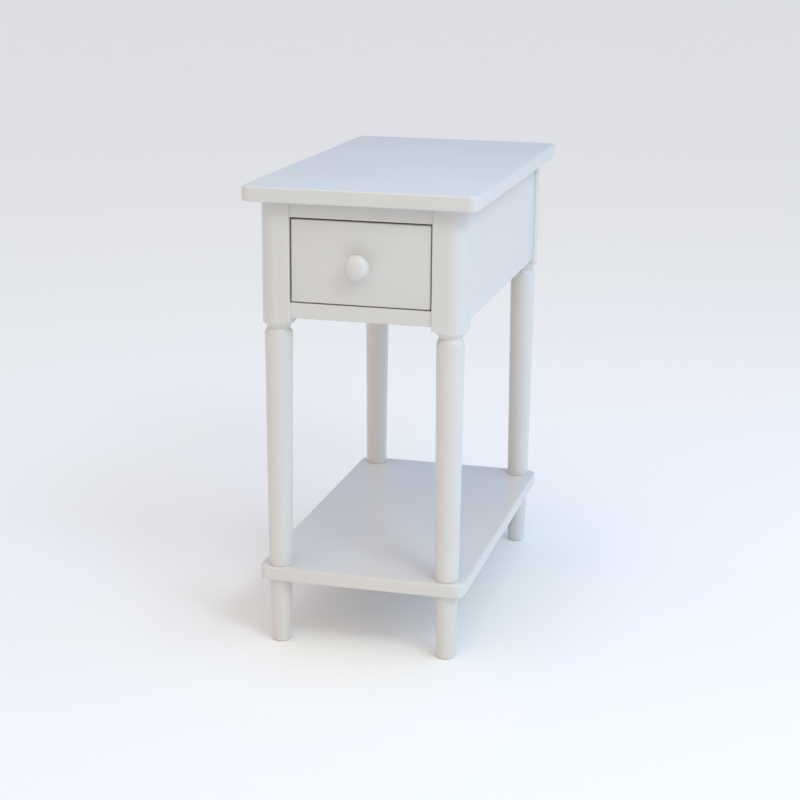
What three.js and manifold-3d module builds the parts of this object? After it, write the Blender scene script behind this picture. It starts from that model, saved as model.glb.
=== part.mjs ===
// A narrow side table with one drawer and a lower shelf, as an assembly of its wooden pieces
// and hardware. Millimetres, +Z up, the drawer faces -Y, and the feet stand on Z = 0.
import * as THREE from 'three';
import { mergeVertices } from 'three/addons/utils/BufferGeometryUtils.js';
import Module from 'manifold-3d';

const wasm = await Module();
wasm.setup();

// ---- driving dimensions ----

const FIT = 0.3; // gap kept wherever two pieces touch
const PAST = 1; // how far a cut runs past the face that it opens
const ROUND_STEPS = 24; // sides of a turned piece
const BOLT_STEPS = 12; // sides of a bolt or screw
const STEP_RADIUS = 3; // a round corner has one step for each of these in its radius

const top = { width: 305, depth: 559, thickness: 19, corner: 12, edge: 2 };
const tableHeight = 617;
const undersideZ = tableHeight - top.thickness;
const frameTopZ = undersideZ - FIT;

const shelf = { width: 279, depth: 524, thickness: 18.3, topZ: 107.6, corner: 14, edge: 2 };
const shelfBottomZ = shelf.topZ - shelf.thickness;

// The square block at a leg's head, and the turned part below it.
const leg = {
  outerX: 134.8,
  outerY: 263,
  block: 42,
  outerCorner: 23,
  innerCorner: 1.5,
};

// The turning, from the neck's height: the shoulder curves out below the neck, and above it
// come a small fillet and the flare that runs out through the corners of the block.
const turning = {
  neckZ: 431,
  neckRadius: 14.75,
  neckHeight: 0.7,
  shoulderRadius: 18.2,
  shoulderHeight: 7,
  endRadius: 15.5,
  fillet: [
    [15.9, 2.6],
    [16.6, 4.2],
  ],
  flare: [
    [18, 6],
    [20.6, 8.2],
    [24, 10.4],
    [30, 12.6],
  ],
};
const legAxis = { x: leg.outerX - leg.block / 2, y: leg.outerY - leg.block / 2 };
const innerX = leg.outerX - leg.block;
const innerY = leg.outerY - leg.block;

const foot = { topRadius: 15.1, bottomRadius: 12.5, edge: 1.5 };
const stud = { radius: 4, reach: 22, holeDepth: 24 };

const apron = { thickness: 18, recess: 3, bottomZ: 450 };
const tenon = { length: 12, thickness: 8, shoulder: 10 };
const sideApronOuter = leg.outerX - apron.recess;
const sideApronInner = sideApronOuter - apron.thickness;
const rearApronOuter = leg.outerY - apron.recess;
const rearApronInner = rearApronOuter - apron.thickness;

// The two rails frame the drawer opening, flush with the drawer front.
const faceY = -(leg.outerY - apron.recess);
const rail = { depth: 22, bottomZ: 448, openingBottomZ: 468, openingTopZ: frameTopZ - 20 };
const railTenon = { shoulderY: 4, shoulderZ: 4.5 };
const railBackY = faceY + rail.depth;

const drawer = {
  gapSide: 1.8,
  gapTop: 2.2,
  gapBottom: 1.6,
  frontThickness: 19,
  edge: 1.5,
  length: 400,
  halfWidth: 90,
  board: 12,
  bottomZ: rail.openingBottomZ + 0.4,
  topZ: 568,
  backInset: 10,
  backDrop: 6,
  frontCorner: 2,
};
const drawerInnerX = drawer.halfWidth - drawer.board;
const drawerFrontBackY = faceY + drawer.frontThickness;
const drawerRearY = faceY + drawer.length;
const backRearY = drawerRearY - drawer.backInset;
const backFrontY = backRearY - drawer.board;
const backTopZ = drawer.topZ - drawer.backDrop;
const backHousing = drawer.board / 3;

const panel = { thickness: 3.4, groove: 4, grooveDepth: 6, bottomZ: 480 };
const grooveZ = panel.bottomZ - FIT;

// Half-blind dovetails join each drawer side to the drawer front.
const tail = { length: 13, rootHalf: 9, tipHalf: 11.5, centres: [486, 518, 550] };

const runner = { innerX: 74, guideX: 91, guideHeight: 17.7, guideEndY: 160 };
const runnerOuterX = sideApronInner - FIT;
const stopBlock = { length: 18, height: 18 };

const knob = {
  z: 521.5,
  height: 27,
  radius: 16,
  holeDepth: 14,
  capHeight: 16,
  rim: 4.5,
  stem: [
    [10.5, 0],
    [10.5, 1.5],
    [8.4, 4],
    [7.6, 7],
    [9, 10],
  ],
};
const knobSeatY = faceY - FIT;
const knobScrew = { radius: 2, headRadius: 4.5, headHeight: 2.5, length: 32 };

const turnButton = { width: 14, thickness: 6, long: 46, short: 10, pivotZ: 545, gap: 0.6 };
const buttonFrontY = backRearY + turnButton.gap;
const pivotScrew = { radius: 2.2, headRadius: 4.5, headHeight: 2.5, grip: 8, tipRoom: 2 };
const pivotGap = { radial: 0.25, head: 0.5 };

const topScrew = { radius: 2, headRadius: 4.2, headHeight: 2.8, length: 24, pilot: 13 };
const topScrewAt = { x: 98, y: 170 };
const counterbore = { radius: 4.8, depth: 6 };

const cornerBlock = { bottomZ: 480, height: 80, width: 22, clearance: 1.4 };
const cornerBolt = { radius: 3, tail: 12, bite: 25, tipRoom: 2 };
const cornerNut = { acrossFlats: 10, height: 5 };

// ---- finishes ----

const finish = (color, roughness, metalness = 0) =>
  new THREE.MeshStandardMaterial({ color, roughness, metalness });
const paint = finish(0xe6e6e4, 0.45);
const hardwood = finish(0xd8bd94, 0.6);
const plywood = finish(0xe0c9a2, 0.65);
const zinc = finish(0xb9bcc0, 0.35, 1);

// ---- solids and meshes ----

function toSolid(geometry) {
  geometry.deleteAttribute('normal');
  geometry.deleteAttribute('uv');
  const merged = mergeVertices(geometry);
  const corners = merged.index.array;
  const triangles = [];
  for (let i = 0; i < corners.length; i += 3) {
    const [a, b, c] = [corners[i], corners[i + 1], corners[i + 2]];
    if (a !== b && b !== c && c !== a) {
      triangles.push(a, b, c);
    }
  }
  const vertProperties = new Float32Array(merged.attributes.position.array);
  const triVerts = new Uint32Array(triangles);
  return new wasm.Manifold(new wasm.Mesh({ numProp: 3, vertProperties, triVerts }));
}

function toMesh(name, solid, material) {
  const { vertProperties, triVerts, numProp } = solid.getMesh();
  const position = new Float32Array((vertProperties.length / numProp) * 3);
  for (let i = 0; i < position.length; i += 1) {
    position[i] = vertProperties[Math.floor(i / 3) * numProp + (i % 3)];
  }
  const geometry = new THREE.BufferGeometry();
  geometry.setAttribute('position', new THREE.BufferAttribute(position, 3));
  geometry.setIndex(new THREE.BufferAttribute(new Uint32Array(triVerts), 1));
  const mesh = new THREE.Mesh(geometry, material);
  mesh.name = name;
  return mesh;
}

// A box between two opposite corners, given in either order on each axis.
function box([x1, y1, z1], [x2, y2, z2]) {
  const geometry = new THREE.BoxGeometry(Math.abs(x2 - x1), Math.abs(y2 - y1), Math.abs(z2 - z1));
  geometry.translate((x1 + x2) / 2, (y1 + y2) / 2, (z1 + z2) / 2);
  return toSolid(geometry);
}

// Points on an ellipse from one angle to another, in degrees.
function arc(centreU, centreV, radiusU, radiusV, from, to, steps) {
  const points = [];
  for (let i = 0; i <= steps; i += 1) {
    const angle = THREE.MathUtils.degToRad(from + ((to - from) * i) / steps);
    points.push([centreU + radiusU * Math.cos(angle), centreV + radiusV * Math.sin(angle)]);
  }
  return points;
}

// Points on a circular corner from one angle to another, in degrees, finer on a larger radius.
function corner(x, y, radius, from, to) {
  return arc(x, y, radius, radius, from, to, Math.max(2, Math.round(radius / STEP_RADIUS)));
}

// A rectangle with a radius for each corner, anticlockwise from the lowest x and y.
function rectangle(x1, y1, x2, y2, [r1, r2, r3, r4]) {
  return outline([
    ...corner(x1 + r1, y1 + r1, r1, 180, 270),
    ...corner(x2 - r2, y1 + r2, r2, 270, 360),
    ...corner(x2 - r3, y2 - r3, r3, 0, 90),
    ...corner(x1 + r4, y2 - r4, r4, 90, 180),
  ]);
}

// A flat outline made into a plate between two heights.
function plate(shape, z1, z2) {
  const geometry = new THREE.ExtrudeGeometry(shape, { depth: z2 - z1, bevelEnabled: false });
  geometry.translate(0, 0, z1);
  return toSolid(geometry);
}

function outline(points) {
  return new THREE.Shape(points.map(([x, y]) => new THREE.Vector2(x, y)));
}

// A board with rounded corners and softened faces, from z1 to z2.
function softBoard(halfWidth, halfDepth, z1, z2, cornerRadius, edge) {
  const halfX = halfWidth - edge;
  const halfY = halfDepth - edge;
  const radius = cornerRadius - edge;
  const shape = rectangle(-halfX, -halfY, halfX, halfY, [radius, radius, radius, radius]);
  const geometry = new THREE.ExtrudeGeometry(shape, {
    depth: z2 - z1 - 2 * edge,
    bevelThickness: edge,
    bevelSize: edge,
    bevelSegments: 2,
  });
  geometry.translate(0, 0, z1 + edge);
  return toSolid(geometry);
}

// A turned piece about Z, from [radius, height] points listed from the bottom to the top.
function turned(profile, steps = ROUND_STEPS) {
  const points = profile.map(([radius, height]) => new THREE.Vector2(radius, height));
  const geometry = new THREE.LatheGeometry(points, steps);
  geometry.rotateX(Math.PI / 2);
  return toSolid(geometry);
}

function rod(radius, z1, z2, steps = BOLT_STEPS) {
  return turned([[0, z1], [radius, z1], [radius, z2], [0, z2]], steps);
}

// A screw about Z with a low domed head below its shank.
function screw({ radius, headRadius, headHeight, length }) {
  const tip = 3;
  return turned(
    [
      [0, -headHeight],
      [headRadius * 0.7, -headHeight],
      [headRadius, -headHeight * 0.4],
      [headRadius, 0],
      [radius, 0],
      [radius, length - tip],
      [0, length],
    ],
    BOLT_STEPS,
  );
}

const mirrorX = (solid) => solid.mirror([1, 0, 0]);
const mirrorY = (solid) => solid.mirror([0, 1, 0]);
// Turns something made along +Z to point to the front, along -Y.
const towardsFront = (solid) => solid.rotate([90, 0, 0]);

// ---- top and shelf ----

function tabletop() {
  let board = softBoard(top.width / 2, top.depth / 2, undersideZ, tableHeight, top.corner, top.edge);
  const pilot = rod(topScrew.radius + FIT, undersideZ - PAST, undersideZ + topScrew.pilot);
  for (const x of [-topScrewAt.x, topScrewAt.x]) {
    for (const y of [-topScrewAt.y, topScrewAt.y]) {
      board = board.subtract(pilot.translate([x, y, 0]));
    }
  }
  return board;
}

function lowerShelf() {
  let board = softBoard(
    shelf.width / 2,
    shelf.depth / 2,
    shelfBottomZ,
    shelf.topZ,
    shelf.corner,
    shelf.edge,
  );
  const hole = rod(stud.radius + FIT, shelfBottomZ - PAST, shelf.topZ + PAST);
  for (const x of [-legAxis.x, legAxis.x]) {
    for (const y of [-legAxis.y, legAxis.y]) {
      board = board.subtract(hole.translate([x, y, 0]));
    }
  }
  return board;
}

// ---- legs and feet ----

// The space inside which a leg is turned: a tapered shaft, a rounded shoulder, a neck, a small
// fillet and the flare, then room for the whole of the square block.
function legEnvelope() {
  const bottom = shelf.topZ + FIT;
  const { neckZ, neckRadius, shoulderRadius, shoulderHeight, endRadius } = turning;
  const shoulderTop = neckZ - turning.neckHeight;
  const shoulderBottom = shoulderTop - shoulderHeight;
  const shoulderDepth = shoulderRadius - neckRadius;
  const fromNeck = ([radius, height]) => [radius, neckZ + height];
  return turned([
    [0, bottom],
    [endRadius, bottom],
    [shoulderRadius, shoulderBottom],
    ...arc(neckRadius, shoulderBottom, shoulderDepth, shoulderHeight, 15, 90, 5),
    [neckRadius, neckZ],
    ...turning.fillet.map(fromNeck),
    ...turning.flare.map(fromNeck),
    [leg.block, neckZ + turning.flare.at(-1)[1]],
    [leg.block, frameTopZ],
    [0, frameTopZ],
  ]);
}

// A square prism as long as the leg, with one large rounded corner facing +X -Y.
function legPrism() {
  const half = leg.block / 2;
  const radii = [leg.innerCorner, leg.outerCorner, leg.innerCorner, leg.innerCorner];
  return plate(rectangle(-half, -half, half, half, radii), shelf.topZ, frameTopZ);
}

// The front right leg, in place, with the mortises for its rails and side apron.
function frontLeg() {
  return legPrism()
    .intersect(legEnvelope())
    .translate([legAxis.x, -legAxis.y, 0])
    .subtract(studHole())
    .subtract(mirrorY(sideMortise()))
    .subtract(railMortise(rail.openingTopZ, frameTopZ))
    .subtract(railMortise(rail.bottomZ, rail.openingBottomZ));
}

// The rear right leg, in place, with mortises for the side and rear aprons and a bolt hole.
function rearLeg() {
  return mirrorY(legPrism())
    .intersect(legEnvelope())
    .translate([legAxis.x, legAxis.y, 0])
    .subtract(mirrorY(studHole()))
    .subtract(sideMortise())
    .subtract(rearMortise())
    .subtract(boltHole());
}

function studHole() {
  const bottom = shelf.topZ;
  return rod(stud.radius + FIT, bottom - PAST, bottom + stud.holeDepth)
    .translate([legAxis.x, -legAxis.y, 0]);
}

function sideMortise() {
  const middle = (sideApronInner + sideApronOuter) / 2;
  const half = tenon.thickness / 2 + FIT;
  const bottom = apron.bottomZ + tenon.shoulder - FIT;
  const mortiseTop = frameTopZ - tenon.shoulder + FIT;
  return box(
    [middle - half, innerY - PAST, bottom],
    [middle + half, innerY + tenon.length + FIT, mortiseTop],
  );
}

function rearMortise() {
  const middle = (rearApronInner + rearApronOuter) / 2;
  const half = tenon.thickness / 2 + FIT;
  const bottom = apron.bottomZ + tenon.shoulder - FIT;
  const mortiseTop = frameTopZ - tenon.shoulder + FIT;
  return box(
    [innerX - PAST, middle - half, bottom],
    [innerX + tenon.length + FIT, middle + half, mortiseTop],
  );
}

function railMortise(bottom, railTop) {
  return box(
    [innerX - PAST, faceY + railTenon.shoulderY - FIT, bottom + railTenon.shoulderZ - FIT],
    [
      innerX + tenon.length + FIT,
      railBackY - railTenon.shoulderY + FIT,
      railTop - railTenon.shoulderZ + FIT,
    ],
  );
}

function turnedFoot() {
  const footTop = shelfBottomZ - FIT;
  const { topRadius, bottomRadius, edge } = foot;
  const hole = stud.radius + FIT;
  return turned([
    [0, 0],
    ...arc(bottomRadius - edge, edge, edge, edge, -90, 0, 3),
    [topRadius, footTop],
    [hole, footTop],
    [hole, footTop - stud.holeDepth],
    [0, footTop - stud.holeDepth],
  ]);
}

function footStud() {
  return rod(stud.radius, shelfBottomZ - stud.reach, shelf.topZ + stud.reach);
}

// ---- aprons and rails ----

function sideApron() {
  const end = innerY - FIT;
  const middle = (sideApronInner + sideApronOuter) / 2;
  const half = tenon.thickness / 2;
  const tongueEnd = innerY + tenon.length;
  const board = box([sideApronInner, -end, apron.bottomZ], [sideApronOuter, end, frameTopZ]);
  const tongue = box(
    [middle - half, -tongueEnd, apron.bottomZ + tenon.shoulder],
    [middle + half, tongueEnd, frameTopZ - tenon.shoulder],
  );
  return board.add(tongue);
}

function rearApron() {
  const end = innerX - FIT;
  const middle = (rearApronInner + rearApronOuter) / 2;
  const half = tenon.thickness / 2;
  const tongueEnd = innerX + tenon.length;
  const board = box([-end, rearApronInner, apron.bottomZ], [end, rearApronOuter, frameTopZ]);
  const tongue = box(
    [-tongueEnd, middle - half, apron.bottomZ + tenon.shoulder],
    [tongueEnd, middle + half, frameTopZ - tenon.shoulder],
  );
  return board.add(tongue);
}

function frontRail(bottom, railTop) {
  const end = innerX - FIT;
  const tongueEnd = innerX + tenon.length;
  const board = box([-end, faceY, bottom], [end, railBackY, railTop]);
  const tongue = box(
    [-tongueEnd, faceY + railTenon.shoulderY, bottom + railTenon.shoulderZ],
    [tongueEnd, railBackY - railTenon.shoulderY, railTop - railTenon.shoulderZ],
  );
  return board.add(tongue);
}

// ---- inside the frame, on the right-hand side ----

// The plan of a runner or kicker, notched round the legs at both ends.
function runnerPlan() {
  const notchX = innerX - FIT;
  const notchY = innerY - FIT;
  const front = railBackY + FIT;
  const rear = rearApronInner - FIT;
  return outline([
    [runner.innerX, front],
    [notchX, front],
    [notchX, -notchY],
    [runnerOuterX, -notchY],
    [runnerOuterX, notchY],
    [notchX, notchY],
    [notchX, rear],
    [runner.innerX, rear],
  ]);
}

function drawerRunner() {
  return plate(runnerPlan(), apron.bottomZ, rail.openingBottomZ);
}

// The kicker keeps the drawer from tipping and carries the screws that hold the top down.
function drawerKicker() {
  let board = plate(runnerPlan(), rail.openingTopZ, frameTopZ);
  const seatZ = rail.openingTopZ + counterbore.depth;
  const hole = rod(topScrew.radius + FIT, rail.openingTopZ, frameTopZ + PAST)
    .add(rod(counterbore.radius, rail.openingTopZ - PAST, seatZ));
  for (const y of [-topScrewAt.y, topScrewAt.y]) {
    board = board.subtract(hole.translate([topScrewAt.x, y, 0]));
  }
  return board;
}

function drawerGuide() {
  const bottom = rail.openingBottomZ + FIT;
  return box(
    [runner.guideX, -(innerY - FIT), bottom],
    [runnerOuterX, runner.guideEndY, bottom + runner.guideHeight],
  );
}

function rearStopBlock() {
  const bottom = rail.openingBottomZ + FIT;
  const front = drawerRearY + FIT;
  return box(
    [drawerInnerX, front, bottom],
    [drawer.halfWidth, front + stopBlock.length, bottom + stopBlock.height],
  );
}

// The brace across the corner between the side and rear aprons, in front of the leg's edge.
const diagonal = innerX + innerY;
const braceOuter = diagonal - cornerBlock.clearance * Math.SQRT2;
const braceInner = braceOuter - cornerBlock.width * Math.SQRT2;

function rearCornerBlock() {
  const sideX = sideApronInner - FIT;
  const rearY = rearApronInner - FIT;
  const plan = outline([
    [sideX, braceInner - sideX],
    [sideX, braceOuter - sideX],
    [braceOuter - rearY, rearY],
    [braceInner - rearY, rearY],
  ]);
  const block = plate(plan, cornerBlock.bottomZ, cornerBlock.bottomZ + cornerBlock.height);
  return block.subtract(boltHole());
}

// Places something made along Z on the corner bolt's line, with Z = 0 at the brace's inner face
// and +Z towards the leg.
function onBoltLine(solid) {
  const offset = (braceInner - diagonal) / 2;
  const height = cornerBlock.bottomZ + cornerBlock.height / 2;
  return solid
    .rotate([0, 90, 0])
    .rotate([0, 0, 45])
    .translate([innerX + offset, innerY + offset, height]);
}

const boltReach = cornerBlock.width + cornerBlock.clearance + cornerBolt.bite;

function boltHole() {
  return onBoltLine(rod(cornerBolt.radius + FIT, -PAST, boltReach + cornerBolt.tipRoom));
}

function hangerBolt() {
  return onBoltLine(rod(cornerBolt.radius, -cornerBolt.tail, boltReach));
}

function hexNut() {
  const radius = cornerNut.acrossFlats / Math.sqrt(3);
  const back = -FIT;
  const front = back - cornerNut.height;
  const hole = rod(cornerBolt.radius + FIT, front - PAST, back + PAST);
  return onBoltLine(rod(radius, front, back, 6).subtract(hole));
}

function tabletopScrew() {
  const seatZ = rail.openingTopZ + counterbore.depth;
  return screw(topScrew).translate([topScrewAt.x, topScrewAt.y, seatZ - FIT]);
}

// ---- drawer ----

// One dovetail seen from the side, grown by a gap for its socket.
function tailOutline(centreZ, gap) {
  const root = drawerFrontBackY + PAST;
  const tip = drawerFrontBackY - tail.length - gap;
  return outline([
    [tip, centreZ - tail.tipHalf - gap],
    [root, centreZ - tail.rootHalf - gap],
    [root, centreZ + tail.rootHalf + gap],
    [tip, centreZ + tail.tipHalf + gap],
  ]);
}

// A plate drawn in the Y-Z plane and made thick from x1 to x2.
function sidePlate(shape, x1, x2) {
  return plate(shape, x1, x2).rotate([90, 0, 90]);
}

function drawerFront() {
  const halfWidth = innerX - drawer.gapSide;
  const bottom = rail.openingBottomZ + drawer.gapBottom;
  const upper = rail.openingTopZ - drawer.gapTop;
  const halfHeight = (upper - bottom) / 2;
  const { frontThickness, frontCorner, edge } = drawer;
  let board = softBoard(halfWidth, halfHeight, 0, frontThickness, frontCorner, edge);
  board = towardsFront(board).translate([0, drawerFrontBackY, bottom + halfHeight]);
  for (const centreZ of tail.centres) {
    const socket = sidePlate(tailOutline(centreZ, FIT), drawerInnerX - FIT, innerX);
    board = board.subtract(socket).subtract(mirrorX(socket));
  }
  const grooveEnd = drawerInnerX + panel.grooveDepth;
  const groove = box(
    [-grooveEnd, drawerFrontBackY - panel.grooveDepth, grooveZ],
    [grooveEnd, drawerFrontBackY + PAST, grooveZ + panel.groove],
  );
  const hole = towardsFront(
    rod(knobScrew.radius + FIT, -PAST, frontThickness + PAST),
  );
  return board.subtract(groove).subtract(hole.translate([0, drawerFrontBackY, knob.z]));
}

// The right-hand side, with tails in front, a groove for the bottom and a housing for the back.
function drawerSide() {
  let board = box(
    [drawerInnerX, drawerFrontBackY + FIT, drawer.bottomZ],
    [drawer.halfWidth, drawerRearY, drawer.topZ],
  );
  for (const centreZ of tail.centres) {
    board = board.add(sidePlate(tailOutline(centreZ, 0), drawerInnerX, drawer.halfWidth));
  }
  const groove = box(
    [drawerInnerX - PAST, faceY, grooveZ],
    [drawerInnerX + panel.grooveDepth, backRearY + FIT, grooveZ + panel.groove],
  );
  const housing = box(
    [drawerInnerX - PAST, backFrontY - FIT, grooveZ],
    [drawerInnerX + backHousing + FIT, backRearY + FIT, drawer.topZ + PAST],
  );
  return board.subtract(groove).subtract(housing);
}

function drawerBack() {
  const halfWidth = drawerInnerX + backHousing;
  const bottom = grooveZ + panel.groove;
  const board = box([-halfWidth, backFrontY, bottom], [halfWidth, backRearY, backTopZ]);
  const hole = towardsFront(
    rod(pivotScrew.radius + FIT, -PAST, pivotScrew.grip + pivotScrew.tipRoom),
  );
  return board.subtract(hole.translate([0, backRearY, turnButton.pivotZ]));
}

function drawerBottom() {
  const halfWidth = drawerInnerX + panel.grooveDepth - 2 * FIT;
  return box(
    [-halfWidth, drawerFrontBackY - panel.grooveDepth + 2 * FIT, panel.bottomZ],
    [halfWidth, backRearY, panel.bottomZ + panel.thickness],
  );
}

// A mushroom knob: a flared foot, a waist and a full round cap, hollow for its screw.
function pullKnob() {
  const hole = knobScrew.radius + FIT;
  const { radius, height, capHeight, rim } = knob;
  const profile = [
    [0, knob.holeDepth],
    [hole, knob.holeDepth],
    [hole, 0],
    ...knob.stem,
    ...arc(radius - rim, capHeight, rim, rim, -70, 0, 4),
    ...arc(0, capHeight, radius, height - capHeight, 12, 90, 7),
  ];
  return towardsFront(turned(profile)).translate([0, knobSeatY, knob.z]);
}

function screwForKnob() {
  return towardsFront(screw(knobScrew)).translate([0, drawerFrontBackY + FIT, knob.z]);
}

// A wooden tab on the drawer's back. Upright, it meets the top rail and keeps the drawer in.
// Turned level, it lets the drawer be taken out.
function stopButton() {
  const { width, thickness, long, short } = turnButton;
  const half = width / 2;
  const end = half - 0.5;
  const shape = rectangle(-half, -short, half, long, [end, end, end, end]);
  const hole = rod(pivotScrew.radius + pivotGap.radial, -PAST, thickness + PAST);
  return plate(shape, 0, thickness)
    .subtract(hole)
    .rotate([90, 0, 0])
    .translate([0, buttonFrontY + thickness, turnButton.pivotZ]);
}

function stopButtonScrew() {
  const seatY = buttonFrontY + turnButton.thickness + pivotGap.head;
  const length = seatY - backRearY + pivotScrew.grip;
  return towardsFront(screw({ ...pivotScrew, length })).translate([0, seatY, turnButton.pivotZ]);
}

// ---- assembly ----

const table = new THREE.Group();

function place(name, solid, material) {
  table.add(toMesh(name, solid, material));
}

// Makes the right-hand piece and its mirror image on the left.
function placePair(name, right, material) {
  place(`${name}_right`, right, material);
  place(`${name}_left`, mirrorX(right), material);
}

function placeAtEachLeg(name, solid, material) {
  for (const [end, y] of [['front', -legAxis.y], ['rear', legAxis.y]]) {
    placePair(`${name}_${end}`, solid.translate([legAxis.x, y, 0]), material);
  }
}

place('tabletop', tabletop(), paint);
place('lower_shelf', lowerShelf(), paint);
placePair('leg_front', frontLeg(), paint);
placePair('leg_rear', rearLeg(), paint);
placeAtEachLeg('foot', turnedFoot(), paint);
placeAtEachLeg('foot_stud', footStud(), zinc);

placePair('side_apron', sideApron(), paint);
place('rear_apron', rearApron(), paint);
place('front_rail_top', frontRail(rail.openingTopZ, frameTopZ), paint);
place('front_rail_bottom', frontRail(rail.bottomZ, rail.openingBottomZ), paint);

placePair('drawer_runner', drawerRunner(), hardwood);
placePair('drawer_guide', drawerGuide(), hardwood);
placePair('drawer_kicker', drawerKicker(), hardwood);
placePair('rear_stop_block', rearStopBlock(), hardwood);
placePair('corner_block', rearCornerBlock(), hardwood);
placePair('corner_bolt', hangerBolt(), zinc);
placePair('corner_nut', hexNut(), zinc);
placePair('tabletop_screw_rear', tabletopScrew(), zinc);
placePair('tabletop_screw_front', mirrorY(tabletopScrew()), zinc);

place('drawer_front', drawerFront(), paint);
placePair('drawer_side', drawerSide(), hardwood);
place('drawer_back', drawerBack(), hardwood);
place('drawer_bottom', drawerBottom(), plywood);
place('knob', pullKnob(), paint);
place('knob_screw', screwForKnob(), zinc);
place('stop_button', stopButton(), hardwood);
place('stop_button_screw', stopButtonScrew(), zinc);

// The knob stands proud of the top in front, so the whole is centred front to back about it.
const knobFrontY = knobSeatY - knob.height;
table.position.y = -(knobFrontY + top.depth / 2) / 2;

export default table;
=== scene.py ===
"""Looks for a narrow side table with a drawer and a lower shelf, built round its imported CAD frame.

Every shape is in metres, in the frame of the CAD part: +Z up, and the drawer faces -Y.
"""

import math

import bmesh
import bpy
from mathutils import Matrix, Vector


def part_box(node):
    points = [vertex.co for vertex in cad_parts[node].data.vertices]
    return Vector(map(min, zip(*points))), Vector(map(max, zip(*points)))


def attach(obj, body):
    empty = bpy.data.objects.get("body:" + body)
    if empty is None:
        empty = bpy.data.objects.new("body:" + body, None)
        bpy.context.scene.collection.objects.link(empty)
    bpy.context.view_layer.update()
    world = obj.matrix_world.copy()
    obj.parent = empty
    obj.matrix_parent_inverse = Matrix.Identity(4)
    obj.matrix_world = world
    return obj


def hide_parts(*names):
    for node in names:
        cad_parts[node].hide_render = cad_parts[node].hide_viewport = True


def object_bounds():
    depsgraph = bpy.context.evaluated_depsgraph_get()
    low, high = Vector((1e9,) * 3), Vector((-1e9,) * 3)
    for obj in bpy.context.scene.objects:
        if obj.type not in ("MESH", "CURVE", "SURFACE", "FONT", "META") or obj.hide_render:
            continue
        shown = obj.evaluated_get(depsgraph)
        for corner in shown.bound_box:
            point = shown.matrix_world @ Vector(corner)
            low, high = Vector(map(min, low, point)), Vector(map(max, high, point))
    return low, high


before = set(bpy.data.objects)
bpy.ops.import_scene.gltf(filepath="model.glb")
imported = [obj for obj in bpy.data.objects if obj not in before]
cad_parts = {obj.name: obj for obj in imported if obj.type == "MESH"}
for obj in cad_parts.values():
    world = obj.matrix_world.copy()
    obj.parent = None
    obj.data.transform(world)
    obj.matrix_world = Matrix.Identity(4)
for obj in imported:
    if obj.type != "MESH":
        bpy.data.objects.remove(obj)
cad_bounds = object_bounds()

MM = 0.001
TAU = 2 * math.pi
FIT = 0.3 * MM  # the gap that the CAD pieces keep where they touch
SEAT = 0.28 * MM  # how far a piece reaches across the fit gap to close its painted joint
SIDES = ("left", "right")
ENDS = ("front", "rear")

# How many flats stand for a curve.
TURNED_STEPS = 240
CORNER_STEPS = 14
EDGE_STEPS = 6
LEG_CURVE_STEPS = 6
KNOB_CURVE_STEPS = 5

# Tolerances for working on the CAD meshes.
WELD = 0.01 * MM  # vertices closer than this become one
SAME_PLACE = 0.1 * MM  # a vertex closer than this to a plane lies in it
FLAT_ANGLE = math.radians(1)  # faces that meet at less than this become one
SHARP_ANGLE = math.radians(40)  # edges sharper than this are eased

# How far the edges of the frame's boards and of the bare wood blocks are eased.
BOARD_EDGE = 1.2 * MM
BLOCK_EDGE = 0.8 * MM


# ---- node helpers ----

class Nodes:
    """A node tree under construction."""

    def __init__(self, tree):
        self.tree = tree

    def node(self, kind, inputs=None, **settings):
        made = self.tree.nodes.new("ShaderNode" + kind)
        for key, value in settings.items():
            setattr(made, key, value)
        for key, value in (inputs or {}).items():
            self.feed(made.inputs[key], value)
        return made

    def feed(self, socket, value):
        if isinstance(value, bpy.types.NodeSocket):
            self.tree.links.new(value, socket)
        else:
            socket.default_value = value


class Shader(Nodes):
    """A material under construction, with short calls for the patterns it is made from."""

    def __init__(self, name):
        self.material = bpy.data.materials.new(name)
        self.material.use_nodes = True
        super().__init__(self.material.node_tree)
        self.surface = self.tree.nodes["Principled BSDF"]

    def set(self, name, value):
        self.feed(self.surface.inputs[name], value)

    def coordinates(self, stretch, shift_by_piece=False):
        """Positions on the piece in metres, scaled on each axis by stretch."""
        place = self.node("TexCoord").outputs["Object"]
        if shift_by_piece:
            random = self.node("ObjectInfo").outputs["Random"]
            offset = self.node("VectorMath", {0: (3.1, 7.3, 5.7), "Scale": random}, operation="SCALE")
            place = self.node("VectorMath", {0: place, 1: offset.outputs[0]}).outputs[0]
        return self.node("Mapping", {"Vector": place, "Scale": stretch}).outputs[0]

    def noise(self, vector, scale, detail=2.0, roughness=0.5, distortion=0.0):
        values = {
            "Vector": vector,
            "Scale": scale,
            "Detail": detail,
            "Roughness": roughness,
            "Distortion": distortion,
        }
        return self.node("TexNoise", values).outputs["Fac"]

    def ramp(self, factor, stops):
        made = self.node("ValToRGB", {"Fac": factor})
        elements = made.color_ramp.elements
        while len(elements) < len(stops):
            elements.new(0.5)
        for element, (position, colour) in zip(elements, stops):
            element.position = position
            element.color = (*colour, 1.0)
        return made.outputs["Color"]

    def span(self, factor, low, high):
        """Maps 0..1 to low..high."""
        return self.node("MapRange", {"Value": factor, 3: low, 4: high}).outputs[0]

    def mix(self, factor, first, second, blend="MIX"):
        made = self.node("Mix", data_type="RGBA", blend_type=blend)
        self.feed(made.inputs[0], factor)
        self.feed(made.inputs[6], first)
        self.feed(made.inputs[7], second)
        return made.outputs[2]

    def bump(self, height, distance, strength=1.0, normal=None):
        values = {"Height": height, "Distance": distance, "Strength": strength}
        if normal is not None:
            values["Normal"] = normal
        return self.node("Bump", values).outputs[0]


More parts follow.
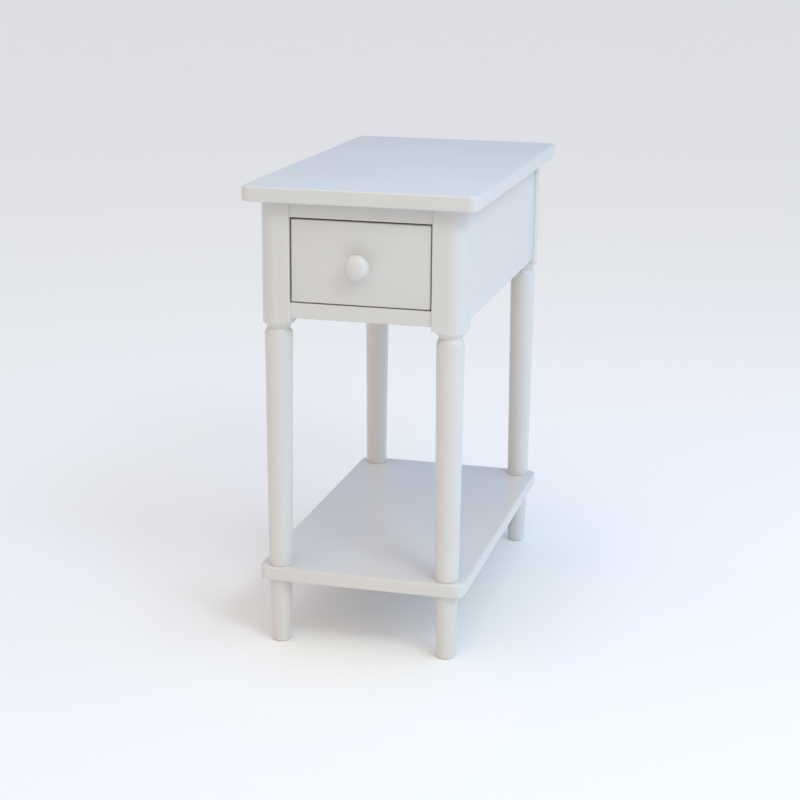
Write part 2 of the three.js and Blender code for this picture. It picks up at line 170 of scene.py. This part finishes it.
def along_axis(axis, along, across):
    """A stretch with one value along the grain's axis and another across it."""
    return tuple(along if letter == axis else across for letter in "XYZ")


# ---- materials ----

def paint_material(axis):
    """Satin off-white paint on wood whose grain runs along one axis and just shows through."""
    shader = Shader("satin_paint_grain_" + axis.lower())
    shade = shader.noise(shader.coordinates((1, 1, 1), True), 5.0, detail=2.0)
    shader.set("Base Color", shader.ramp(shade, [
        (0.3, (0.72, 0.7, 0.665)),
        (0.7, (0.745, 0.72, 0.685)),
    ]))
    grain = shader.noise(shader.coordinates(along_axis(axis, 6, 120), True), 1.0, 2.0)
    peel = shader.noise(shader.coordinates((1, 1, 1)), 260.0, detail=1.0)
    smears = shader.noise(shader.coordinates(along_axis(axis, 6, 14), True), 1.0, 2.0)
    shader.set("Roughness", shader.span(smears, 0.276, 0.31))
    relief = shader.bump(grain, 0.00002)
    shader.set("Normal", shader.bump(peel, 0.000006, 1.0, relief))
    return shader.material


def hardwood_material(axis, name, light, dark):
    """Bare sanded wood: slow growth bands, fine fibres and short pores along one axis."""
    shader = Shader(f"{name}_grain_{axis.lower()}")
    bands = shader.noise(shader.coordinates(along_axis(axis, 1.4, 26), True), 2.0, 4.0, 0.55, 1.2)
    fibres = shader.noise(shader.coordinates(along_axis(axis, 14, 700), True), 1.3, 4.0, 0.6)
    pores = shader.noise(shader.coordinates(along_axis(axis, 60, 1500), True), 1.0, 2.0, 0.5)
    tone = shader.ramp(bands, [(0.32, dark), (0.5, light), (0.68, dark)])
    fibre_tone = shader.ramp(fibres, [(0.3, (0.82, 0.78, 0.72)), (0.7, (1.0, 1.0, 1.0))])
    toned = shader.mix(0.75, tone, fibre_tone, "MULTIPLY")
    pore_mask = shader.ramp(pores, [(0.3, (0.62, 0.5, 0.38)), (0.42, (1.0, 1.0, 1.0))])
    shader.set("Base Color", shader.mix(0.6, toned, pore_mask, "MULTIPLY"))
    shader.set("Roughness", shader.span(fibres, 0.5, 0.68))
    relief = shader.bump(fibres, 0.00012, 0.6)
    shader.set("Normal", shader.bump(pores, 0.0001, 0.5, relief))
    return shader.material


def zinc_material():
    """Bright zinc plate with a faint crystalline mottle and fine scuffs."""
    shader = Shader("zinc_plate")
    mottle = shader.noise(shader.coordinates((1, 1, 1), True), 700.0, 3.0, 0.6)
    scuffs = shader.noise(shader.coordinates((1, 1, 0.2), True), 2600.0, 2.0)
    shader.set("Base Color", shader.ramp(mottle, [
        (0.3, (0.52, 0.54, 0.57)),
        (0.7, (0.72, 0.74, 0.76)),
    ]))
    shader.set("Metallic", 1.0)
    shader.set("Roughness", shader.span(scuffs, 0.24, 0.42))
    shader.set("Normal", shader.bump(scuffs, 0.00002, 0.5))
    return shader.material


PAINT = {axis: paint_material(axis) for axis in "XYZ"}
HARDWOOD = {
    axis: hardwood_material(axis, "hardwood", (0.7, 0.46, 0.28), (0.54, 0.34, 0.19))
    for axis in "XYZ"
}
PLYWOOD = hardwood_material("Y", "plywood", (0.74, 0.53, 0.34), (0.63, 0.43, 0.26))
ZINC = zinc_material()


# ---- mesh helpers ----

def finish_piece(mesh_object, material, body, slot, *nodes, angle=35):
    """Shades a new piece, rides it on its body and hides the CAD nodes it stands for."""
    mesh_object.data.materials.clear()
    mesh_object.data.materials.append(material)
    mesh_object.data.shade_smooth()
    mesh_object.data.set_sharp_from_angle(angle=math.radians(angle))
    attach(mesh_object, body)
    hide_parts(*nodes)
    return mesh_object


def new_object(name, build):
    """An object at the origin whose mesh is filled in by build, given an empty bmesh."""
    mesh = bpy.data.meshes.new(name)
    work = bmesh.new()
    build(work)
    bmesh.ops.recalc_face_normals(work, faces=work.faces)
    work.to_mesh(mesh)
    work.free()
    made = bpy.data.objects.new(name, mesh)
    bpy.context.scene.collection.objects.link(made)
    return made


def loft(name, rings):
    """A closed skin through rings of points, each ring with the same number of points."""
    def build(work):
        rows = [[work.verts.new(point) for point in ring] for ring in rings]
        for lower, upper in zip(rows, rows[1:]):
            count = len(lower)
            for i in range(count):
                j = (i + 1) % count
                work.faces.new((lower[i], lower[j], upper[j], upper[i]))
        work.faces.new(list(reversed(rows[0])))
        work.faces.new(rows[-1])
    return new_object(name, build)


def rounded_outline(half_x, half_y, radius):
    """Points round a rectangle with round corners, anticlockwise from -x -y."""
    points = []
    for index, (side_x, side_y) in enumerate(((-1, -1), (1, -1), (1, 1), (-1, 1))):
        centre = (side_x * (half_x - radius), side_y * (half_y - radius))
        for step in range(CORNER_STEPS + 1):
            angle = math.radians(180 + 90 * index + 90 * step / CORNER_STEPS)
            points.append((
                centre[0] + radius * math.cos(angle),
                centre[1] + radius * math.sin(angle),
            ))
    return points


def edge_profile(low, high, radius):
    """(inset, height) pairs up a board's edge, rounded by radius at both faces."""
    profile = []
    for step in range(EDGE_STEPS + 1):
        angle = math.radians(90 * step / EDGE_STEPS)
        profile.append((radius * (1 - math.sin(angle)), low + radius * (1 - math.cos(angle))))
    upper = [(inset, low + high - height) for inset, height in reversed(profile)]
    return profile + upper


def soft_board(name, half_x, half_y, low, high, corner, edge):
    """A board lying flat, centred on the Z axis, with round corners and softened edges."""
    rings = []
    for inset, height in edge_profile(low, high, edge):
        outline = rounded_outline(half_x - inset, half_y - inset, corner - inset)
        rings.append([(x, y, height) for x, y in outline])
    return loft(name, rings)


def turned(name, profile, radius_at=None):
    """A solid turned about Z from (radius, height) pairs. radius_at may shape each point."""
    def ring(radius, height):
        points = []
        for step in range(TURNED_STEPS):
            angle = TAU * step / TURNED_STEPS
            shaped = radius_at(angle, radius) if radius_at else radius
            points.append((shaped * math.cos(angle), shaped * math.sin(angle), height))
        return points
    return loft(name, [ring(radius, height) for radius, height in profile])


def place_mesh(mesh_object, matrix):
    mesh_object.data.transform(matrix)
    return mesh_object


def towards_front(x, y, z):
    """Takes something made along +Z to point along -Y from a place."""
    return Matrix.Translation((x, y, z)) @ Matrix.Rotation(math.pi / 2, 4, "X")


def along(edge, axis):
    run = edge.verts[1].co - edge.verts[0].co
    return abs(run[axis]) > 0.99 * run.length


def in_plane_of(edge, axis, place):
    return all(abs(vertex.co[axis] - place) < SAME_PLACE for vertex in edge.verts)


def eased_copy(
    node, material, body, slot, width, only_along=None, shoulders=(), in_plane=None, segments=3
):
    """A copy of a CAD piece with its flat faces whole again and its sharp edges eased.

    only_along limits the easing to edges along one axis, 0 for X to 2 for Z, so that the ends
    stay crisp. The two shoulders, given as places on that axis, are moved out to close the
    joints there. in_plane, an axis and a place on it, limits the easing to edges in that plane.
    """
    copy = bpy.data.objects.new(node + "_eased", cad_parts[node].data.copy())
    bpy.context.scene.collection.objects.link(copy)
    work = bmesh.new()
    work.from_mesh(copy.data)
    bmesh.ops.remove_doubles(work, verts=work.verts, dist=WELD)
    bmesh.ops.dissolve_limit(
        work,
        angle_limit=FLAT_ANGLE,
        verts=work.verts,
        edges=work.edges,
    )
    sharp = [
        edge for edge in work.edges
        if len(edge.link_faces) == 2 and edge.calc_face_angle() > SHARP_ANGLE
        and (only_along is None or along(edge, only_along))
        and (in_plane is None or in_plane_of(edge, *in_plane))
    ]
    bmesh.ops.bevel(
        work,
        geom=sharp,
        offset=width,
        segments=segments,
        profile=0.5,
        affect="EDGES",
        clamp_overlap=True,
    )
    for place in shoulders:
        for vertex in work.verts:
            if abs(vertex.co[only_along] - place) < SAME_PLACE:
                vertex.co[only_along] += math.copysign(SEAT, place)
    work.to_mesh(copy.data)
    work.free()
    return finish_piece(copy, material, body, slot, node, angle=50)


def smooth_curve(points, steps):
    """Points along a Catmull-Rom curve through the given (radius, height) pairs."""
    ends = [points[0], *points, points[-1]]
    curve = []
    for before, start, end, after in zip(ends, ends[1:], ends[2:], ends[3:]):
        for step in range(steps):
            t = step / steps
            curve.append(tuple(
                0.5 * (
                    2 * b
                    + (c - a) * t
                    + (2 * a - 5 * b + 4 * c - d) * t * t
                    + (3 * b - a - 3 * c + d) * t ** 3
                )
                for a, b, c, d in zip(before, start, end, after)
            ))
    curve.append(points[-1])
    return curve


def ellipse_arc(centre, radii, start, end, steps):
    """(radius, height) pairs on an ellipse between two angles in degrees."""
    arc = []
    for step in range(steps + 1):
        angle = math.radians(start + (end - start) * step / steps)
        arc.append((
            centre[0] + radii[0] * math.cos(angle),
            centre[1] + radii[1] * math.sin(angle),
        ))
    return arc


# ---- top and shelf ----

def flat_board(node, corner, edge):
    low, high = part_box(node)
    centre = (low + high) / 2
    half = (high - low) / 2
    board = soft_board(node + "_board", half.x, half.y, low.z, high.z, corner, edge)
    place_mesh(board, Matrix.Translation((centre.x, centre.y, 0)))
    finish_piece(board, PAINT["Y"], "table", "paint", node)


# ---- legs and feet ----

NECK_Z = 432.2 * MM
SHAFT_END_RADIUS = 15.5 * MM
FOOT_BOTTOM_RADIUS = 12.5 * MM
FOOT_EDGE = 1.8 * MM
SEAM_BEVEL = 0.5 * MM  # on the ends of the shafts and feet, where they meet the shelf
OUTER_CORNER = 23 * MM
INNER_CORNER = 1.5 * MM

# Radii in mm, and heights from the neck, of the shoulder of the shaft, and of the small fillet
# and the flare that runs out through the corners of the block.
SHOULDER = [(18.2, -9.6), (18.1, -8), (17.5, -5.6), (16.4, -3.2), (15.3, -1.4), (14.75, -0.6)]
FLARE = [(14.75, 0), (15.9, 2), (16.6, 3.2), (18, 4.8), (20.6, 7), (24, 9.2), (30, 11.4)]


def block_reach(angle, half, outer_angle):
    """How far the block reaches from its axis at an angle: a square with one large corner."""
    from_corner = angle - outer_angle + math.pi / 4
    u, v = math.cos(from_corner), math.sin(from_corner)
    flat = half / max(abs(u), abs(v))
    for side_u, side_v in ((1, 1), (1, -1), (-1, 1), (-1, -1)):
        radius = OUTER_CORNER if side_u == side_v == 1 else INNER_CORNER
        inset = half - radius
        if side_u * flat * u > inset and side_v * flat * v > inset:
            # Out to where the ray passes nearest the corner's centre, then on to its arc.
            nearest = inset * (side_u * u + side_v * v)
            return nearest + math.sqrt(radius ** 2 - 2 * inset ** 2 + nearest ** 2)
    return flat


def leg_profile(low, high):
    profile = [(SHAFT_END_RADIUS - SEAM_BEVEL, low), (SHAFT_END_RADIUS, low + SEAM_BEVEL)]
    for curve in (SHOULDER, FLARE):
        profile += smooth_curve([(r * MM, NECK_Z + h * MM) for r, h in curve], LEG_CURVE_STEPS)
    flare_top = NECK_Z + FLARE[-1][1] * MM
    wide = 2 * FLARE[-1][0] * MM
    profile += [(wide, flare_top + MM), (wide, high)]
    return profile


def leg(end, side):
    node = f"leg_{end}_{side}"
    low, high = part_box(node)
    centre = (low + high) / 2
    half = (high.x - low.x) / 2
    outer_angle = math.atan2(math.copysign(1, centre.y), math.copysign(1, centre.x))

    def shaped(angle, radius):
        return min(radius, block_reach(angle, half, outer_angle))

    profile = leg_profile(low.z - SEAT, high.z)
    piece = turned(node + "_turned", profile, shaped)
    place_mesh(piece, Matrix.Translation((centre.x, centre.y, 0)))
    finish_piece(piece, PAINT["Z"], "table", "paint", node, angle=28)


def foot(end, side):
    node = f"foot_{end}_{side}"
    low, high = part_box(node)
    centre = (low + high) / 2
    top_radius = (high.x - low.x) / 2
    top = high.z + SEAT
    edge = FOOT_EDGE
    profile = ellipse_arc((FOOT_BOTTOM_RADIUS - edge, low.z + edge), (edge, edge), -90, 0, 8)
    profile += [(top_radius, top - SEAM_BEVEL), (top_radius - SEAM_BEVEL, top)]
    piece = turned(node + "_turned", profile)
    place_mesh(piece, Matrix.Translation((centre.x, centre.y, 0)))
    finish_piece(piece, PAINT["Z"], "table", "paint", node)


# ---- drawer front and knob ----

FRONT_EDGE = 1.8 * MM
KNOB_STEM = [(10.5, 0), (10.5, 1.5), (8.6, 4), (7.8, 7), (9.2, 10), (12.4, 12.2)]  # mm
KNOB_CAP_HEIGHT = 16 * MM
KNOB_RIM = 3.6 * MM


def drawer_front():
    """The front with its dovetail sockets, eased only round the face that shows."""
    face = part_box("drawer_front")[0].y
    eased_copy(
        "drawer_front", PAINT["X"], "drawer", "paint", FRONT_EDGE, in_plane=(1, face), segments=6
    )


def knob():
    low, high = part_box("knob")
    centre = (low + high) / 2
    radius = (high.z - low.z) / 2
    height = high.y - low.y
    crown = height - KNOB_CAP_HEIGHT
    rim = KNOB_RIM
    profile = smooth_curve([(r * MM, h * MM) for r, h in KNOB_STEM], KNOB_CURVE_STEPS)
    profile += ellipse_arc((radius - rim, KNOB_CAP_HEIGHT), (rim, rim), -75, 0, 8)
    profile += ellipse_arc((0, KNOB_CAP_HEIGHT), (radius, crown), 4, 89, 22)
    piece = turned("knob_turned", profile)
    place_mesh(piece, towards_front(centre.x, high.y, centre.z))
    finish_piece(piece, PAINT["Y"], "drawer", "paint", "knob")


# ---- boards ----

def frame_boards():
    across = (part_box("leg_front_left")[1].x + FIT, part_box("leg_front_right")[0].x - FIT)
    lengthways = (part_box("leg_front_right")[1].y + FIT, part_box("leg_rear_right")[0].y - FIT)
    for node in ("front_rail_top", "front_rail_bottom", "rear_apron"):
        eased_copy(node, PAINT["X"], "table", "paint", BOARD_EDGE, only_along=0, shoulders=across)
    for side in SIDES:
        eased_copy(
            f"side_apron_{side}", PAINT["Y"], "table", "paint", BOARD_EDGE,
            only_along=1, shoulders=lengthways,
        )
        for node in ("drawer_runner", "drawer_guide", "drawer_kicker", "rear_stop_block"):
            eased_copy(f"{node}_{side}", HARDWOOD["Y"], "table", "hardwood", BLOCK_EDGE)
        eased_copy(f"corner_block_{side}", HARDWOOD["Z"], "table", "hardwood", BLOCK_EDGE)


def drawer_boards():
    for side in SIDES:
        eased_copy(f"drawer_side_{side}", HARDWOOD["Y"], "drawer", "hardwood", 0.4 * MM)
    eased_copy("drawer_back", HARDWOOD["X"], "drawer", "hardwood", BLOCK_EDGE)
    eased_copy("drawer_bottom", PLYWOOD, "drawer", "plywood", 0.3 * MM)
    eased_copy("stop_button", HARDWOOD["Z"], "stop_button", "hardwood", 0.6 * MM)


# ---- hardware ----

def hardware():
    for side in SIDES:
        eased_copy(f"corner_nut_{side}", ZINC, "table", "zinc", 0.4 * MM)
    for node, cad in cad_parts.items():
        if "stud" in node or "bolt" in node or "screw" in node:
            cad.data.materials.clear()
            cad.data.materials.append(ZINC)


# ---- stage, light and camera ----

def stage():
    size = 60

    def build(work):
        bmesh.ops.create_grid(work, x_segments=1, y_segments=1, size=size / 2)

    floor = new_object("floor", build)
    shader = Shader("pale_floor")
    shader.set("Base Color", (0.97, 0.955, 0.93, 1))
    shader.set("Roughness", 0.85)
    shader.set("Specular IOR Level", 0.1)
    floor.data.materials.append(shader.material)
    floor.location.z = -0.0002


def area_light(name, place, aim, size, watts, colour):
    data = bpy.data.lights.new(name, "AREA")
    data.shape = "RECTANGLE"
    data.size, data.size_y = size
    data.energy = watts
    data.color = colour
    lamp = bpy.data.objects.new(name, data)
    bpy.context.scene.collection.objects.link(lamp)
    lamp.location = place
    lamp.rotation_euler = (Vector(aim) - Vector(place)).to_track_quat("-Z", "Y").to_euler()


# Soft broad glows in the surround, as a direction, a falloff power and a colour: pale on the
# right, cool behind, and warm on the left and high in front.
GLOWS = [
    ((1, 0, 0.6), 4, (0.86, 1.06, 1.05)),
    ((-1, 0, 0.8), 4, (0.7, 0.6, 0.56)),
    ((0, 1, 0.8), 4, (0.19, 0.42, 0.86)),
    ((0, -1, 1.2), 8, (1.45, 1.13, 0.83)),
]
DIM = (0.2, 0.2, 0.2)
BACKDROP = (0.74, 0.745, 0.75, 1)


def add_glow(nodes, direction, towards, power, colour, rest):
    """The rest of the surround with one more glow on it."""
    facing = nodes.node(
        "VectorMath", {0: direction, 1: Vector(towards).normalized()}, operation="DOT_PRODUCT"
    )
    ahead = nodes.node("Math", {0: facing.outputs["Value"], 1: 0}, operation="MAXIMUM")
    falloff = nodes.node("Math", {0: ahead.outputs[0], 1: power}, operation="POWER")
    lit = {0: falloff.outputs[0], 1: colour, 2: rest}
    return nodes.node("VectorMath", lit, operation="MULTIPLY_ADD").outputs[0]


def surround():
    """An even dim surround with a few broad glows, seen by the camera as a plain backdrop."""
    world = bpy.data.worlds.new("studio")
    world.use_nodes = True
    nodes = Nodes(world.node_tree)
    direction = nodes.node("TexCoord").outputs["Generated"]
    light = DIM
    for towards, power, colour in GLOWS:
        light = add_glow(nodes, direction, towards, power, colour, light)
    lighting = world.node_tree.nodes["Background"]
    nodes.feed(lighting.inputs["Color"], light)
    backdrop = nodes.node("Background", {"Color": BACKDROP})
    seen_directly = nodes.node("LightPath").outputs["Is Camera Ray"]
    shaders = {0: seen_directly, 1: lighting.outputs[0], 2: backdrop.outputs[0]}
    choice = nodes.node("MixShader", shaders)
    nodes.feed(world.node_tree.nodes["World Output"].inputs["Surface"], choice.outputs[0])
    bpy.context.scene.world = world


# Name, place, size in metres, watts and colour.
SOFTBOXES = [
    ("top_softbox", (0, -0.25, 2.9), (1.1, 1.1), 7.5, (0.75, 0.9, 1.0)),
    ("key_softbox", (1.6, -1.6, 2.4), (0.9, 0.8), 21.9, (0.61, 0.82, 1.0)),
    ("side_softbox", (2.4, 0.1, 1.2), (1.4, 1.0), 9.2, (0.05, 0.25, 1.0)),
]


def lights():
    middle = (0, 0, 0.35)
    for name, place, size, watts, colour in SOFTBOXES:
        area_light(name, place, middle, size, watts, colour)


# The photo's camera, worked out from the table's edges in it. The camera looks at a point a
# little off the middle of the table.
AZIMUTH, ELEVATION, ROLL = (math.radians(degrees) for degrees in (14.465, 15.136, 0.522))
DISTANCE = 2.56
AIM_OFFSET = Vector((-0.0128, -0.0004, -0.0291))
LENS_MM = 80.98


def camera():
    low, high = (Vector(corner) for corner in cad_bounds)
    aim = (low + high) / 2 + AIM_OFFSET
    away = Vector((
        math.sin(AZIMUTH) * math.cos(ELEVATION),
        -math.cos(AZIMUTH) * math.cos(ELEVATION),
        math.sin(ELEVATION),
    ))
    data = bpy.data.cameras.new("photo_view")
    data.lens = LENS_MM
    data.sensor_width = 36
    data.clip_end = 200
    view = bpy.data.objects.new("photo_view", data)
    bpy.context.scene.collection.objects.link(view)
    turn = away.to_track_quat("Z", "Y").to_matrix().to_4x4() @ Matrix.Rotation(ROLL, 4, "Z")
    view.matrix_world = Matrix.Translation(aim + DISTANCE * away) @ turn
    bpy.context.scene.camera = view


flat_board("tabletop", corner=12 * MM, edge=2 * MM)
flat_board("lower_shelf", corner=14 * MM, edge=2 * MM)
for end in ENDS:
    for side in SIDES:
        leg(end, side)
        foot(end, side)
drawer_front()
knob()
frame_boards()
drawer_boards()
hardware()
stage()
surround()
lights()
camera()
bpy.context.scene.view_settings.view_transform = "Standard"
